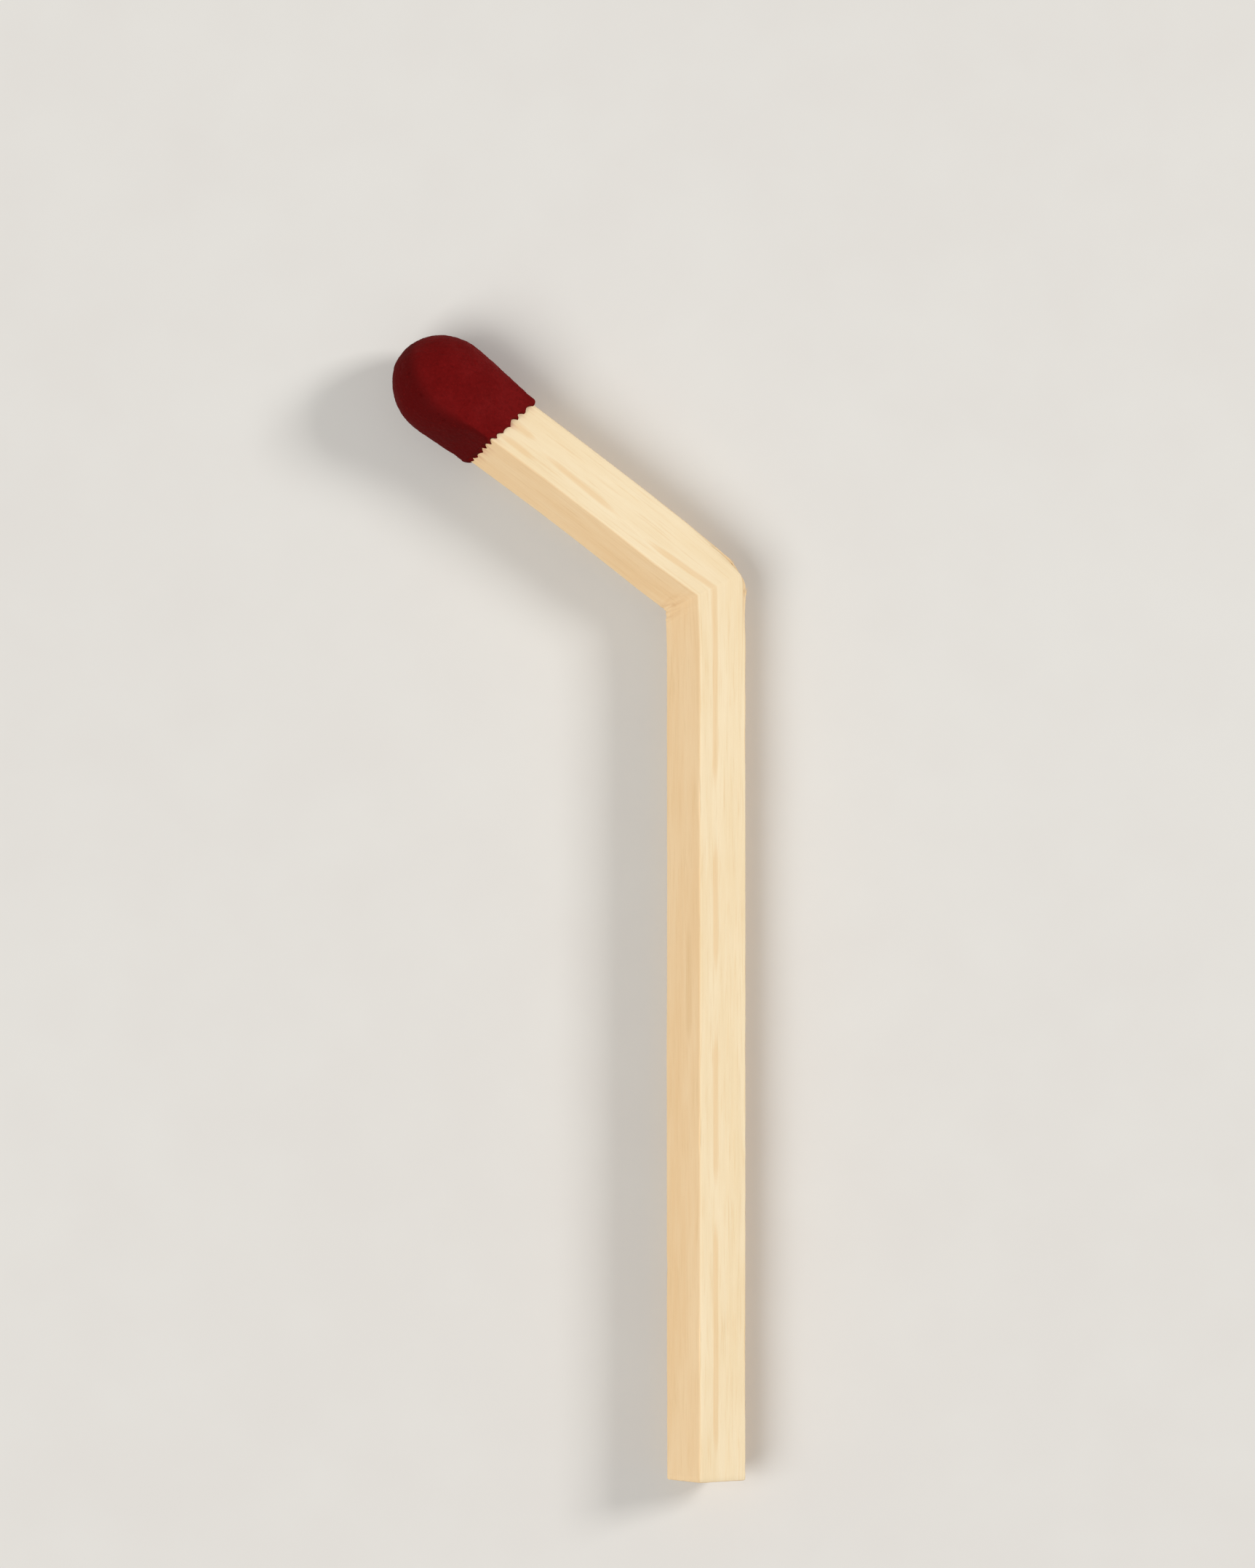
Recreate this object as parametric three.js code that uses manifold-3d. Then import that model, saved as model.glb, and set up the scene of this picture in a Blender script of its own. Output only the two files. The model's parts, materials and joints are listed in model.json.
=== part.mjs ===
// A wooden match whose stick has been snapped but not parted: a square splint with a sharp kink in it,
// and a dipped head on the short arm above the kink. It lies as it comes to rest, with its weight on
// the stem's lower edge and on the head.
// Millimetres and degrees, +Z up. The stem runs along Y and the arm leaves it towards -X and +Y.
// The origin is the middle of the box around the match, on the surface that it lies on.

import * as THREE from "three";
import { mergeVertices } from "three/addons/utils/BufferGeometryUtils.js";
import Module from "manifold-3d";

const wasm = await Module();
wasm.setup();

// The splint
const STEM_LENGTH = 33.2; // cut end to the middle of the kink
const STICK_SIDE = 2.15; // width of the square section
const STICK_TURN = 33.8; // how far the stem's section is turned about its own axis
const ARM_LENGTH = 9.57; // middle of the kink to the middle of the head's rim
const ARM_SWELL = 0.15; // extra width of the arm, whose fibres the break has loosened
const ARM_TWIST = 6.2; // how far the break has turned the arm's section back
const KINK = 50.9; // sharp change of direction at the break
const ARM_BOW = 2.8; // further bend, spread over the bare length of the arm
const ARRIS = 0.1; // radius of the splint's long edges
const CORNER_LOSS = 0.24; // depth that the break has flattened off the kink's outer corner
const CORNER_AIM = 32; // direction that the flattened corner faces, from +X towards +Y

// The head
const DIP_LENGTH = 2.72; // rim to the splint's hidden end, where the bulb is widest
const TIP_COVER = 2.12; // compound beyond the hidden end
const EDGE_COVER = 0.3; // compound over the splint's edges where the bulb is widest
const HEAD_LEAN = 2.5; // how far the head leans to the arm's outer side
const RIM_WALL = 0.18; // thickness of the dried compound where it ends on the splint
const RIM_ROUND = 0.08; // bevel on the rim's outer edge
const RIM_SLANT = 10.6; // slope of the rim across the splint
const RIM_SQUARENESS = 12; // power of the rim's rounded-square outline
const BOND_GAP = 0.02; // clearance between the splint and the socket in the head

// Fineness of the curved surfaces
const ARRIS_STEPS = 3;
const BOW_STEPS = 5;
const HEAD_SIDES = 48;
const SWELL_STEPS = 7;
const NOSE_STEPS = 8;

const armSide = STICK_SIDE + ARM_SWELL;
const armTurn = STICK_TURN - ARM_TWIST;
const splintEndHeading = KINK + ARM_BOW;
const headHeading = splintEndHeading - HEAD_LEAN;

const QUARTER_TURN = Math.PI / 2;
const CIRCLE_POWER = 2; // power of a circle's outline
const radians = THREE.MathUtils.degToRad;
const mix = THREE.MathUtils.lerp;
const middle = new THREE.Vector2();

// Outline of the splint's section, anticlockwise as seen from the stem's cut end: x across, y up.
function squareOutline(side, turn) {
  const outline = [];
  const reach = side / 2 - ARRIS;
  for (let corner = 0; corner < 4; corner += 1) {
    const start = corner * QUARTER_TURN;
    const across = Math.cos(start + QUARTER_TURN / 2) > 0 ? reach : -reach;
    const up = Math.sin(start + QUARTER_TURN / 2) > 0 ? reach : -reach;
    for (let step = 0; step <= ARRIS_STEPS; step += 1) {
      const angle = start + (QUARTER_TURN * step) / ARRIS_STEPS;
      const point = new THREE.Vector2(across + ARRIS * Math.cos(angle), up + ARRIS * Math.sin(angle));
      outline.push(point.rotateAround(middle, -radians(turn)));
    }
  }
  return outline;
}

// Outline of the head's section, from a rounded square (a high power) to a circle (a power of two).
function headOutline(halfWidth, power) {
  const outline = [];
  for (let side = 0; side < HEAD_SIDES; side += 1) {
    const angle = (side * 2 * Math.PI) / HEAD_SIDES;
    const across = Math.abs(Math.cos(angle)) ** power;
    const up = Math.abs(Math.sin(angle)) ** power;
    const radius = halfWidth / (across + up) ** (1 / power);
    const point = new THREE.Vector2(radius * Math.cos(angle), radius * Math.sin(angle));
    outline.push(point.rotateAround(middle, -radians(armTurn)));
  }
  return outline;
}

function lowestOf(outline) {
  return Math.min(...outline.map((point) => point.y));
}

// Directions in the plane of the bend, for a heading that turns left from +Y.
function forward(heading) {
  return new THREE.Vector3(-Math.sin(radians(heading)), Math.cos(radians(heading)), 0);
}

function rightward(heading) {
  return new THREE.Vector3(Math.cos(radians(heading)), Math.sin(radians(heading)), 0);
}

// One ring of a loft: an outline stood across a heading. A mitred ring is stretched sideways, and a
// slanted one runs back along the heading on its right side.
function ring(outline, centre, heading, { stretch = 1, slant = 0 } = {}) {
  return outline.map((point) => {
    const place = centre.clone();
    place.addScaledVector(rightward(heading), point.x * stretch);
    place.addScaledVector(forward(heading), -point.x * slant);
    place.z += point.y;
    return place;
  });
}

// A closed skin over rings that follow one another, fanned shut at a point on each end.
function loft(rings, nearEnd, farEnd) {
  const sides = rings[0].length;
  const places = [...rings.flat(), nearEnd, farEnd];
  const nearHub = places.length - 2;
  const farHub = places.length - 1;
  const lastRing = (rings.length - 1) * sides;
  const faces = [];
  for (let side = 0; side < sides; side += 1) {
    const next = (side + 1) % sides;
    faces.push(nearHub, side, next);
    faces.push(farHub, lastRing + next, lastRing + side);
    for (let base = 0; base < lastRing; base += sides) {
      faces.push(base + side, base + sides + side, base + sides + next);
      faces.push(base + side, base + sides + next, base + next);
    }
  }
  const geometry = new THREE.BufferGeometry().setFromPoints(places);
  return geometry.setIndex(faces);
}

function toSolid(geometry) {
  const skin = geometry.clone();
  skin.deleteAttribute("normal");
  skin.deleteAttribute("uv");
  const merged = mergeVertices(skin);
  const vertProperties = Float32Array.from(merged.attributes.position.array);
  const triVerts = Uint32Array.from(merged.index.array);
  return new wasm.Manifold(new wasm.Mesh({ numProp: 3, vertProperties, triVerts }));
}

function cutAway(body, cutter) {
  const { vertProperties, triVerts } = toSolid(body).subtract(toSolid(cutter)).getMesh();
  const geometry = new THREE.BufferGeometry();
  geometry.setAttribute("position", new THREE.BufferAttribute(Float32Array.from(vertProperties), 3));
  geometry.setIndex(new THREE.BufferAttribute(Uint32Array.from(triVerts), 1));
  geometry.computeVertexNormals();
  return geometry;
}

// The splint's sections. At the kink the outline is half way between the stem's and the arm's.
const stemOutline = squareOutline(STICK_SIDE, STICK_TURN);
const kinkOutline = squareOutline((STICK_SIDE + armSide) / 2, (STICK_TURN + armTurn) / 2);
const armOutline = squareOutline(armSide, armTurn);

// Each section is lifted so that its lowest point lies on z = 0, which keeps the lower edge level.
const stemHeight = -lowestOf(stemOutline);
const kinkHeight = -lowestOf(kinkOutline);
const armHeight = -lowestOf(armOutline);

// The break's change of section is spread over one stick width on each side of the kink.
const looseRun = STICK_SIDE;

// The bare arm at a distance from the kink, up to the head's rim: it bows evenly.
function armHeading(distance) {
  return KINK + (ARM_BOW * distance) / ARM_LENGTH;
}

function armCentre(distance) {
  const chordHeading = (KINK + armHeading(distance)) / 2;
  const centre = forward(chordHeading).multiplyScalar(distance);
  centre.z = armHeight;
  return centre;
}

// Beyond the rim the splint runs straight on, and the head leans away from it.
function pastRim(heading, distance) {
  return armCentre(ARM_LENGTH).addScaledVector(forward(heading), distance);
}

// The whole splint, from its cut end round the kink to the end hidden in the head.
function splintGeometry() {
  const cutEnd = new THREE.Vector3(0, -STEM_LENGTH, stemHeight);
  const stemTop = new THREE.Vector3(0, -looseRun, stemHeight);
  const kink = new THREE.Vector3(0, 0, kinkHeight);
  const hiddenEnd = pastRim(splintEndHeading, DIP_LENGTH);
  const mitre = { stretch: 1 / Math.cos(radians(KINK / 2)) };
  const rings = [
    ring(stemOutline, cutEnd, 0),
    ring(stemOutline, stemTop, 0),
    ring(kinkOutline, kink, KINK / 2, mitre),
  ];
  for (let step = 0; step <= BOW_STEPS; step += 1) {
    const distance = mix(looseRun, ARM_LENGTH, step / BOW_STEPS);
    rings.push(ring(armOutline, armCentre(distance), armHeading(distance)));
  }
  rings.push(ring(armOutline, hiddenEnd, splintEndHeading));
  return cutAway(loft(rings, cutEnd, hiddenEnd), cornerBlock());
}

// The block that flattens the kink's outer corner, set in from the mitre's point.
function cornerBlock() {
  const reach = Math.max(...kinkOutline.map((point) => point.x)) / Math.cos(radians(KINK / 2));
  const face = reach * Math.cos(radians(CORNER_AIM - KINK / 2)) - CORNER_LOSS;
  const size = 2 * STICK_SIDE;
  const block = new THREE.BoxGeometry(size, size, size);
  block.translate(face + size / 2, 0, kinkHeight);
  block.rotateZ(radians(CORNER_AIM));
  return block;
}

// The dipped head: a slanted rounded-square rim that swells to a round bulb and closes in a round nose.
function headGeometry() {
  const halfRim = armSide / 2 + RIM_WALL;
  const halfBulb = Math.max(...armOutline.map((point) => point.length())) + EDGE_COVER;
  const slope = Math.tan(radians(RIM_SLANT));
  const headRing = (along, halfWidth, power, slant) => {
    return ring(headOutline(halfWidth, power), pastRim(headHeading, along), headHeading, { slant });
  };
  const rings = [headRing(0, halfRim - RIM_ROUND, RIM_SQUARENESS, slope)];
  for (let step = 0; step <= SWELL_STEPS; step += 1) {
    const share = step / SWELL_STEPS;
    const swell = THREE.MathUtils.smoothstep(share, 0, 1);
    const power = 1 / mix(1 / RIM_SQUARENESS, 1 / CIRCLE_POWER, swell);
    const along = mix(RIM_ROUND, DIP_LENGTH, share);
    rings.push(headRing(along, mix(halfRim, halfBulb, swell), power, slope * (1 - swell)));
  }
  for (let step = 1; step < NOSE_STEPS; step += 1) {
    const angle = (QUARTER_TURN * step) / NOSE_STEPS;
    const along = DIP_LENGTH + TIP_COVER * Math.sin(angle);
    rings.push(headRing(along, halfBulb * Math.cos(angle), CIRCLE_POWER, 0));
  }
  const tip = pastRim(headHeading, DIP_LENGTH + TIP_COVER);
  return cutAway(loft(rings, armCentre(ARM_LENGTH), tip), socketCutter());
}

// The splint's end grown by the bond gap, run back past the rim so that it cuts the head right open.
function socketCutter() {
  const outline = squareOutline(armSide + 2 * BOND_GAP, armTurn);
  const mouth = pastRim(splintEndHeading, -armSide);
  const floor = pastRim(splintEndHeading, DIP_LENGTH + BOND_GAP);
  const rings = [mouth, floor].map((centre) => ring(outline, centre, splintEndHeading));
  return loft(rings, mouth, floor);
}

// How far the match rolls about the stem's lower edge before its head meets the surface.
function restingRoll(head) {
  const edge = stemOutline.find((point) => point.y === lowestOf(stemOutline));
  const places = head.attributes.position;
  let steepest = 0;
  for (let index = 0; index < places.count; index += 1) {
    steepest = Math.max(steepest, -places.getZ(index) / (edge.x - places.getX(index)));
  }
  return Math.atan(steepest);
}

const wood = new THREE.MeshStandardMaterial({ color: "#f3dcb4", roughness: 0.7, metalness: 0 });
const compound = new THREE.MeshStandardMaterial({ color: "#6c1111", roughness: 0.85, metalness: 0 });

const splint = new THREE.Mesh(splintGeometry(), wood);
splint.name = "splint";
const matchHead = new THREE.Mesh(headGeometry(), compound);
matchHead.name = "match_head";

const lying = new THREE.Group();
lying.add(splint, matchHead);
lying.rotation.y = restingRoll(matchHead.geometry);

const match = new THREE.Group();
match.add(lying);
const box = new THREE.Box3().setFromObject(match, true);
const boxMiddle = box.getCenter(new THREE.Vector3());
lying.position.set(-boxMiddle.x, -boxMiddle.y, -box.min.z);

export default match;
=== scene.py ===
"""A wooden match, snapped but not parted: its pale square splint and its dark red dipped head."""

import json
import math

import bpy
from mathutils import Matrix, Vector


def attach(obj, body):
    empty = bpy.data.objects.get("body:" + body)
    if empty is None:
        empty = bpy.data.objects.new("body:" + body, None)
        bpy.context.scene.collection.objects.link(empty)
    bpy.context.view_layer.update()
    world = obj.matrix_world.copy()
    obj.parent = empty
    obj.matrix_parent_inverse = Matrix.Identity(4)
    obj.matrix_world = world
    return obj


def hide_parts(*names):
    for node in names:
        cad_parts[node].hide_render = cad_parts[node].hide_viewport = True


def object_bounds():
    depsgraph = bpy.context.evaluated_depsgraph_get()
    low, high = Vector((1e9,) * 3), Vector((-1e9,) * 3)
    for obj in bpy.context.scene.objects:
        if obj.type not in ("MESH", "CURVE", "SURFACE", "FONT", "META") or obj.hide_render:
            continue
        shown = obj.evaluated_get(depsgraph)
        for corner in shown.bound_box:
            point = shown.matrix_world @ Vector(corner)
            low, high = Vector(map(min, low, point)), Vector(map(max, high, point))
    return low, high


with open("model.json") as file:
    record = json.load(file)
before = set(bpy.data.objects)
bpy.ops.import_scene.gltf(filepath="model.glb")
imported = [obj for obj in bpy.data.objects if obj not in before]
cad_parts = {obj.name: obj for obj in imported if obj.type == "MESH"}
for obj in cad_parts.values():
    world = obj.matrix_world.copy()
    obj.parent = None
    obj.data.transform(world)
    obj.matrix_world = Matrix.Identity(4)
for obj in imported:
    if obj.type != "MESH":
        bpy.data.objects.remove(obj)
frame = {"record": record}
cad_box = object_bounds()

MM = 0.001
PER_SQUARE_MM = 1 / MM ** 2
RIGHT_ANGLE = math.pi / 2

# The splint, as it was cut and then snapped
STEM_LENGTH = 33.2 * MM
STICK_SIDE = 2.15 * MM
STICK_TURN = math.radians(33.8)
ARM_LENGTH = 9.57 * MM
ARM_SWELL = 0.15 * MM
ARM_TWIST = math.radians(6.2)
KINK = math.radians(50.9)
ARM_BOW = math.radians(2.8)
ARRIS = 0.1 * MM
CUT_ROUND = 0.04 * MM
CORNER_LOSS = 0.24 * MM
CORNER_AIM = math.radians(32)
CORNER_SOFTNESS = 0.03 * MM
LOOSE_RUN = STICK_SIDE

# How deep the wood's relief is
TEAR_DEPTH = 0.1 * MM
FIBRE_DEPTH = 0.02 * MM
WAVE_DEPTH = 0.05 * MM
NICK_DEPTH = 0.05 * MM
CRACK_DEPTH = 0.12 * MM
CRUSH_DEPTH = 0.12 * MM
CUT_DEPTH = 0.04 * MM

# How far from the kink the wood is crushed and stretched, in mm
CRUSH_REACH = 1.2
STRETCH_REACH = 2.2

# How far from the cut its end grain starts and stops giving way to the sides
CUT_SKIN = (0.01 * MM, 0.03 * MM)

# The wood's relief, in repeats per mm across, along and up the straight stick
TEAR_PATTERN = (6, 1.5, 6)
FIBRE_PATTERN = (7, 0.3, 7)
WAVE_PATTERN = (0.8, 0.13, 0.8)
NICK_PATTERN = (2.5, 0.7, 2.5)
PARTING_PATTERN = (3.2, 0.16, 3.2)
FOLD_PATTERN = (0.9, 4.2, 0.9)
CUT_PATTERN = (0.8, 0, 6)

# The slivers that lifted at the break: each is broader one way and flatter the other than its half width
SLIVER_LENGTH = 0.6 * MM
SLIVER_HALF_WIDTH = 0.016 * MM
SLIVER_BEND = 0.03 * MM
SLIVER_DENSITY = 14 * PER_SQUARE_MM
SLIVER_BREADTH = 1.7
SLIVER_FLATNESS = 0.6
SLIVER_SHORTEST = 0.3
SLIVER_LIFT = (0.02, 0.13)
SLIVER_TIP = 0.02
SLIVER_POINTS = 6
SLIVER_SIDES = 4
SLIVER_PLACE_SEED = 4
SLIVER_LIFT_SEED = 8
SLIVER_LENGTH_SEED = 9

# The dipped head
DIP_LENGTH = 2.72 * MM
TIP_COVER = 2.12 * MM
EDGE_COVER = 0.3 * MM
HEAD_LEAN = math.radians(2.5)
RIM_WALL = 0.18 * MM
RIM_ROUND = 0.2 * MM
RIM_SLANT = math.radians(10.6)
BOND_DEPTH = 0.015 * MM
SOCKET_SQUARENESS = 30
RIM_SQUARENESS = 12
ROUND = 2
# The way the head's painted lit side faces: the lighter red toward it and the darker red away from it are
# painted light and shade
PAINTED_LIGHT_SIDE = (0.8, -0.39, 0.45)

# The bites in its rim, and the waves that shift and shrink them: (count in a turn, start, height)
BITES = 22.0
BITE_DEPTH = 0.2 * MM
BITE_REACH = 0.5 * MM
BITE_BLUNTNESS = 0.8
BITE_SHIFTS = [(3, 0.7, 0.4), (8, 2.1, 0.25)]
BITE_SIZES = [(5, 1.3, 0.2), (9, 0.4, 0.15)]
MEAN_BITE = 0.72

# The compound's relief, with its repeats per mm every way
LUMP_DEPTH = 0.1 * MM
GRIT_DEPTH = 0.06 * MM
PIT_DEPTH = 0.04 * MM
LUMP_PATTERN = (0.75, 0.75, 0.75)
GRIT_PATTERN = (5.5, 5.5, 5.5)
PIT_PATTERN = (2.6, 2.6, 2.6)
SPECKLE_PATTERN = (11, 11, 11)

# Fineness of the meshes
FACE_STEPS = 52
ARRIS_STEPS = 6
STEM_STEP = 0.2 * MM
BREAK_STEP = 0.05 * MM
CUT_END_RINGS = 16
HEAD_SIDES = 400
LIP_STEPS = 9
SWELL_STEPS = 64
NOSE_STEPS = 56

# Darker streaks in the grain: (start, end, how far across at the start, how far across at the end),
# all in mm, measured along the straight stick from the kink
UPPER_STREAKS = [
    (-32.6, -23.1, -0.35, -0.35),
    (-22.6, -16.1, -0.35, -0.35),
    (-14.6, -8.9, -0.35, -0.35),
    (-7.7, 1.0, -0.35, -0.35),
    (-1.0, 3.3, -0.34, -0.54),
    (4.0, 8.3, -0.47, -0.25),
    (8.3, 9.8, -0.03, -0.03),
    (7.8, 9.9, -0.7, -0.69),
]
SIDE_STREAKS = [(-17.3, -12.0, 0.36, 0.36)]
UPPER_STREAK_WIDTH = 0.17
SIDE_STREAK_WIDTH = 0.26
STREAK_WANDER = 0.12
TAPER_SHARE = 0.35
LONGEST_TAPER = 1.3

# The bruise in the crease, and where the dipped wax starts and is full, in mm along the straight stick
BRUISE_PLACE = (-1.08, 0.1, -0.36)
WAX_START = 3.5
WAX_FULL = 7

# The wood's colour, in repeats per mm across, along and up the straight stick
FINE_FIBRE_PATTERN = (13, 0.45, 13)
MOTTLE_STRETCH = (1, 0.12, 1)
STREAK_WANDER_PATTERN = (0.35, 1, 1)
HIDDEN_STREAK_PATTERN = (2.6, 0.08, 2.6)
PORE_PATTERN = (21, 0, 21)
RING_PATTERN = (2.4, 0, 0.5)
KNIFE_MARK_PATTERN = (0.5, 0, 16)
BRUISE_PATTERN = (1.2, 5, 1.2)
STAIN_PATTERN = (5, 0.6, 5)

# How strongly each second colour shows over the first
SIDE_TINT = 0.85
FIBRE_TINT = 0.45
STREAK_TINT = 0.55
RING_TINT = 0.6
PORE_TINT = 0.3
KNIFE_MARK_TINT = 0.4
BRUISE_TINT = 0.3
CRACK_TINT = 0.55
STAIN_TINT = 0.5
GAP_TINT = 0.45
GRAIN_TINT = 0.25

# The picture's frame, in its own pixels
PICTURE_WIDTH = 1725
PICTURE_HEIGHT = 2156
PIXELS_PER_MM = 36.8
KINK_PIXEL = Vector((970.5, 813.0))

# A long lens, in mm, so that the view is nearly flat
LENS_LENGTH = 200

# The floor and the light, in metres and watts
FLOOR_HALF = 1.5
LIGHT_DISTANCE = 0.6
KEY_AZIMUTH = math.radians(21)
KEY_ELEVATION = math.radians(34)
KEY_SIZE = 0.15
KEY_POWER = 1.89
FILL_AZIMUTH = math.radians(203)
FILL_ELEVATION = math.radians(55)
FILL_SIZE = 0.4
FILL_POWER = 2.23
WHITE = (1.0, 1.0, 1.0, 1.0)
SURROUND_STRENGTH = 0.3

arm_side = STICK_SIDE + ARM_SWELL
arm_turn = STICK_TURN - ARM_TWIST
splint_end_heading = KINK + ARM_BOW


# Node trees

class Field:
    """A number that changes over a mesh or a surface. Sums written with it become Math nodes."""

    def __init__(self, tree, socket):
        self.tree = tree
        self.socket = socket

    def __add__(self, other):
        return calc(self.tree, "ADD", self, other)

    def __radd__(self, other):
        return calc(self.tree, "ADD", other, self)

    def __sub__(self, other):
        return calc(self.tree, "SUBTRACT", self, other)

    def __rsub__(self, other):
        return calc(self.tree, "SUBTRACT", other, self)

    def __mul__(self, other):
        return calc(self.tree, "MULTIPLY", self, other)

    def __truediv__(self, other):
        return calc(self.tree, "DIVIDE", self, other)

    def __pow__(self, other):
        return calc(self.tree, "POWER", self, other)

    def __abs__(self):
        return calc(self.tree, "ABSOLUTE", self)

    def sin(self):
        return calc(self.tree, "SINE", self)

    def cos(self):
        return calc(self.tree, "COSINE", self)

    def tan(self):
        return calc(self.tree, "TANGENT", self)

    def least(self, other):
        return calc(self.tree, "MINIMUM", self, other)

    def most(self, other):
        return calc(self.tree, "MAXIMUM", self, other)

    def above(self, limit):
        return calc(self.tree, "GREATER_THAN", self, limit)

    def mixed(self, first, second):
        """The first number where this one is nought, and the second where it is one."""
        return first + (second - first) * self

    def eased(self, low, high, low_out=0.0, high_out=1.0):
        """Carried smoothly from one range to another, and held at the ends."""
        inputs = {"Value": self, "From Min": low, "From Max": high, "To Min": low_out, "To Max": high_out}
        node = put(self.tree, "ShaderNodeMapRange", inputs, interpolation_type="SMOOTHSTEP")
        return Field(self.tree, node.outputs[0])


def put(tree, kind, inputs=None, **settings):
    """Adds a node. Settings are its own properties, and an input is a value, a socket or a Field."""
    node = tree.nodes.new(kind)
    for name, value in settings.items():
        setattr(node, name, value)
    for key, value in (inputs or {}).items():
        if isinstance(value, Field):
            value = value.socket
        if isinstance(value, bpy.types.NodeSocket):
            tree.links.new(value, node.inputs[key])
        else:
            node.inputs[key].default_value = value
    return node


def calc(tree, operation, first, second=0.0):
    node = put(tree, "ShaderNodeMath", {0: first, 1: second}, operation=operation)
    return Field(tree, node.outputs[0])


def parts(tree, vector):
    return [Field(tree, socket) for socket in put(tree, "ShaderNodeSeparateXYZ", {0: vector}).outputs]


def vector_of(tree, x, y, z):
    return put(tree, "ShaderNodeCombineXYZ", {0: x, 1: y, 2: z}).outputs[0]


def scaled(tree, vector, scale):
    return put(tree, "ShaderNodeVectorMath", {0: vector, 1: scale}, operation="MULTIPLY").outputs[0]


def lengthened(tree, vector, amount):
    return put(tree, "ShaderNodeVectorMath", {0: vector, "Scale": amount}, operation="SCALE").outputs[0]


def in_mm(tree, vector):
    return scaled(tree, vector, (1 / MM, 1 / MM, 1 / MM))


def noise(tree, vector, scale, detail=2.0, roughness=0.5):
    """Smooth noise about a half, with its scale along each axis."""
    inputs = {"Vector": scaled(tree, vector, scale), "Scale": 1.0, "Detail": detail, "Roughness": roughness}
    return Field(tree, put(tree, "ShaderNodeTexNoise", inputs).outputs[0])


def grains(tree, vector, scale):
    """How far each point is from the middle of its nearest grain."""
    inputs = {"Vector": scaled(tree, vector, scale), "Scale": 1.0}
    return Field(tree, put(tree, "ShaderNodeTexVoronoi", inputs).outputs["Distance"])


def new_tree(name, sizes):
    """A Geometry Nodes tree that takes a mesh, named sizes and a material, with its inputs as Fields."""
    tree = bpy.data.node_groups.new(name, "GeometryNodeTree")
    kinds = {"Geometry": "NodeSocketGeometry", "Material": "NodeSocketMaterial"}
    kinds.update({size: "NodeSocketFloat" for size in sizes})
    for socket, kind in kinds.items():
        tree.interface.new_socket(socket, in_out="INPUT", socket_type=kind)
    tree.interface.new_socket("Geometry", in_out="OUTPUT", socket_type="NodeSocketGeometry")
    given = put(tree, "NodeGroupInput").outputs
    return tree, {socket: Field(tree, given[socket]) for socket in kinds}


def end_tree(tree, geometry, material):
    solid = put(tree, "GeometryNodeRealizeInstances", {0: geometry}).outputs[0]
    dressed = put(tree, "GeometryNodeSetMaterial", {"Geometry": solid, "Material": material}).outputs[0]
    put(tree, "NodeGroupOutput", {0: dressed})


def position(tree):
    return put(tree, "GeometryNodeInputPosition").outputs[0]


def noted(tree, name, kind="FLOAT"):
    """The socket of a value that was noted on each point of a mesh."""
    return put(tree, "GeometryNodeInputNamedAttribute", {"Name": name}, data_type=kind).outputs[0]


def note(tree, geometry, name, value, kind="FLOAT"):
    inputs = {"Geometry": geometry, "Name": name, "Value": value}
    node = put(tree, "GeometryNodeStoreNamedAttribute", inputs, data_type=kind, domain="POINT")
    return node.outputs[0]


def placed(tree, geometry, place):
    return put(tree, "GeometryNodeSetPosition", {"Geometry": geometry, "Position": place}).outputs[0]


def raised(tree, geometry, height):
    """Moves each point of a mesh out along its normal."""
    normal = put(tree, "GeometryNodeInputNormal").outputs[0]
    inputs = {"Geometry": geometry, "Offset": lengthened(tree, normal, height)}
    return put(tree, "GeometryNodeSetPosition", inputs).outputs[0]


def run_tree(piece, tree, values):
    """Runs a tree on a piece and leaves the result as its plain mesh."""
    modifier = piece.modifiers.new(tree.name, "NODES")
    modifier.node_group = tree
    for item in tree.interface.items_tree:
        if item.in_out == "INPUT" and item.name in values:
            modifier[item.identifier] = values[item.name]
    graph = bpy.context.evaluated_depsgraph_get()
    made = bpy.data.meshes.new_from_object(
        piece.evaluated_get(graph), preserve_all_data_layers=True, depsgraph=graph)
    piece.modifiers.clear()
    piece.data = made
    made.shade_smooth()


# The straight stick and the straight head, along Y

def skin(name, rings, near_hub, far_hub, notes=None):
    """A closed mesh over rings of points, fanned shut at both ends, with notes on its points."""
    sides = len(rings[0])
    spots = [spot for ring in rings for spot in ring] + [near_hub, far_hub]
    near, far = len(spots) - 2, len(spots) - 1
    last = (len(rings) - 1) * sides
    faces = []
    for side in range(sides):
        after = (side + 1) % sides
        faces.append((near, side, after))
        faces.append((far, last + after, last + side))
        for base in range(0, last, sides):
            faces.append((base + side, base + sides + side, base + sides + after, base + after))
    mesh = bpy.data.meshes.new(name)
    mesh.from_pydata(spots, [], faces)
    for title, values in (notes or {}).items():
        mesh.attributes.new(title, "FLOAT", "POINT").data.foreach_set("value", values)
    return add_piece(name, mesh)


def add_piece(name, data):
    piece = bpy.data.objects.new(name, data)
    bpy.context.scene.collection.objects.link(piece)
    return piece


def square_outline():
    """The stick's section, anticlockwise from its right-hand side: each corner's arc and then a flat."""
    reach = STICK_SIDE / 2 - ARRIS
    outline = []
    for corner in range(4):
        quarter = Matrix.Rotation(corner * RIGHT_ANGLE, 2)
        for step in range(ARRIS_STEPS):
            angle = RIGHT_ANGLE * step / ARRIS_STEPS
            arc = Vector((math.cos(angle), math.sin(angle))) * ARRIS
            outline.append(quarter @ (Vector((reach, reach)) + arc))
        for step in range(FACE_STEPS):
            outline.append(quarter @ Vector((reach - 2 * reach * step / FACE_STEPS, STICK_SIDE / 2)))
    return outline


def section_reach(side, turn):
    """How far a turned section reaches from its middle, down and to either side alike."""
    return (side / 2 - ARRIS) * (math.sin(turn) + math.cos(turn)) + ARRIS


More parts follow.
